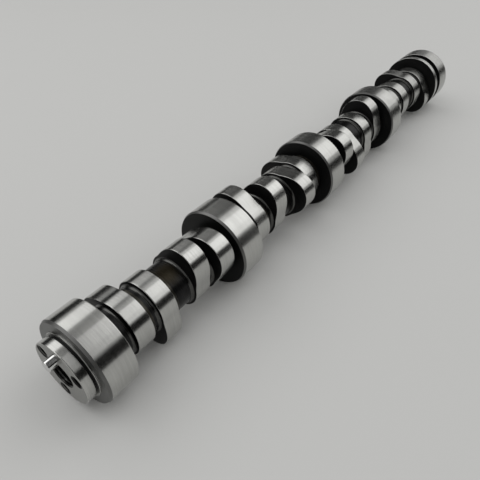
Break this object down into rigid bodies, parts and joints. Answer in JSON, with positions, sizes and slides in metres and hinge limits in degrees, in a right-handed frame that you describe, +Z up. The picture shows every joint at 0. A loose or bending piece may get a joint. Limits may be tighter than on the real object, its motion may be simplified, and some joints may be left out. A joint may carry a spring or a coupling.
{
  "type": "camshaft",
  "caption": "Steel roller camshaft for a V engine: ground cam lobes between round bearing journals, with a dowel pin in its nose.",
  "frame": {"origin": "on the floor under the middle of the overall length, dowel pin included", "axes": "+X along the shaft from the nose to the rear end, +Z up from the floor; cylinder 1's intake nose points 2.6 degrees below +Y"},
  "size_m": [0.4892, 0.055, 0.055],
  "materials": {
    "ground_steel": "ground lands with fine lines round the shaft, and near-black bare shaft between them",
    "dowel_steel": "bright centreless-ground"
  },
  "bodies": {
    "root": {"camshaft": "ground_steel", "dowel_pin": "dowel_steel"}
  },
  "joints": []
}
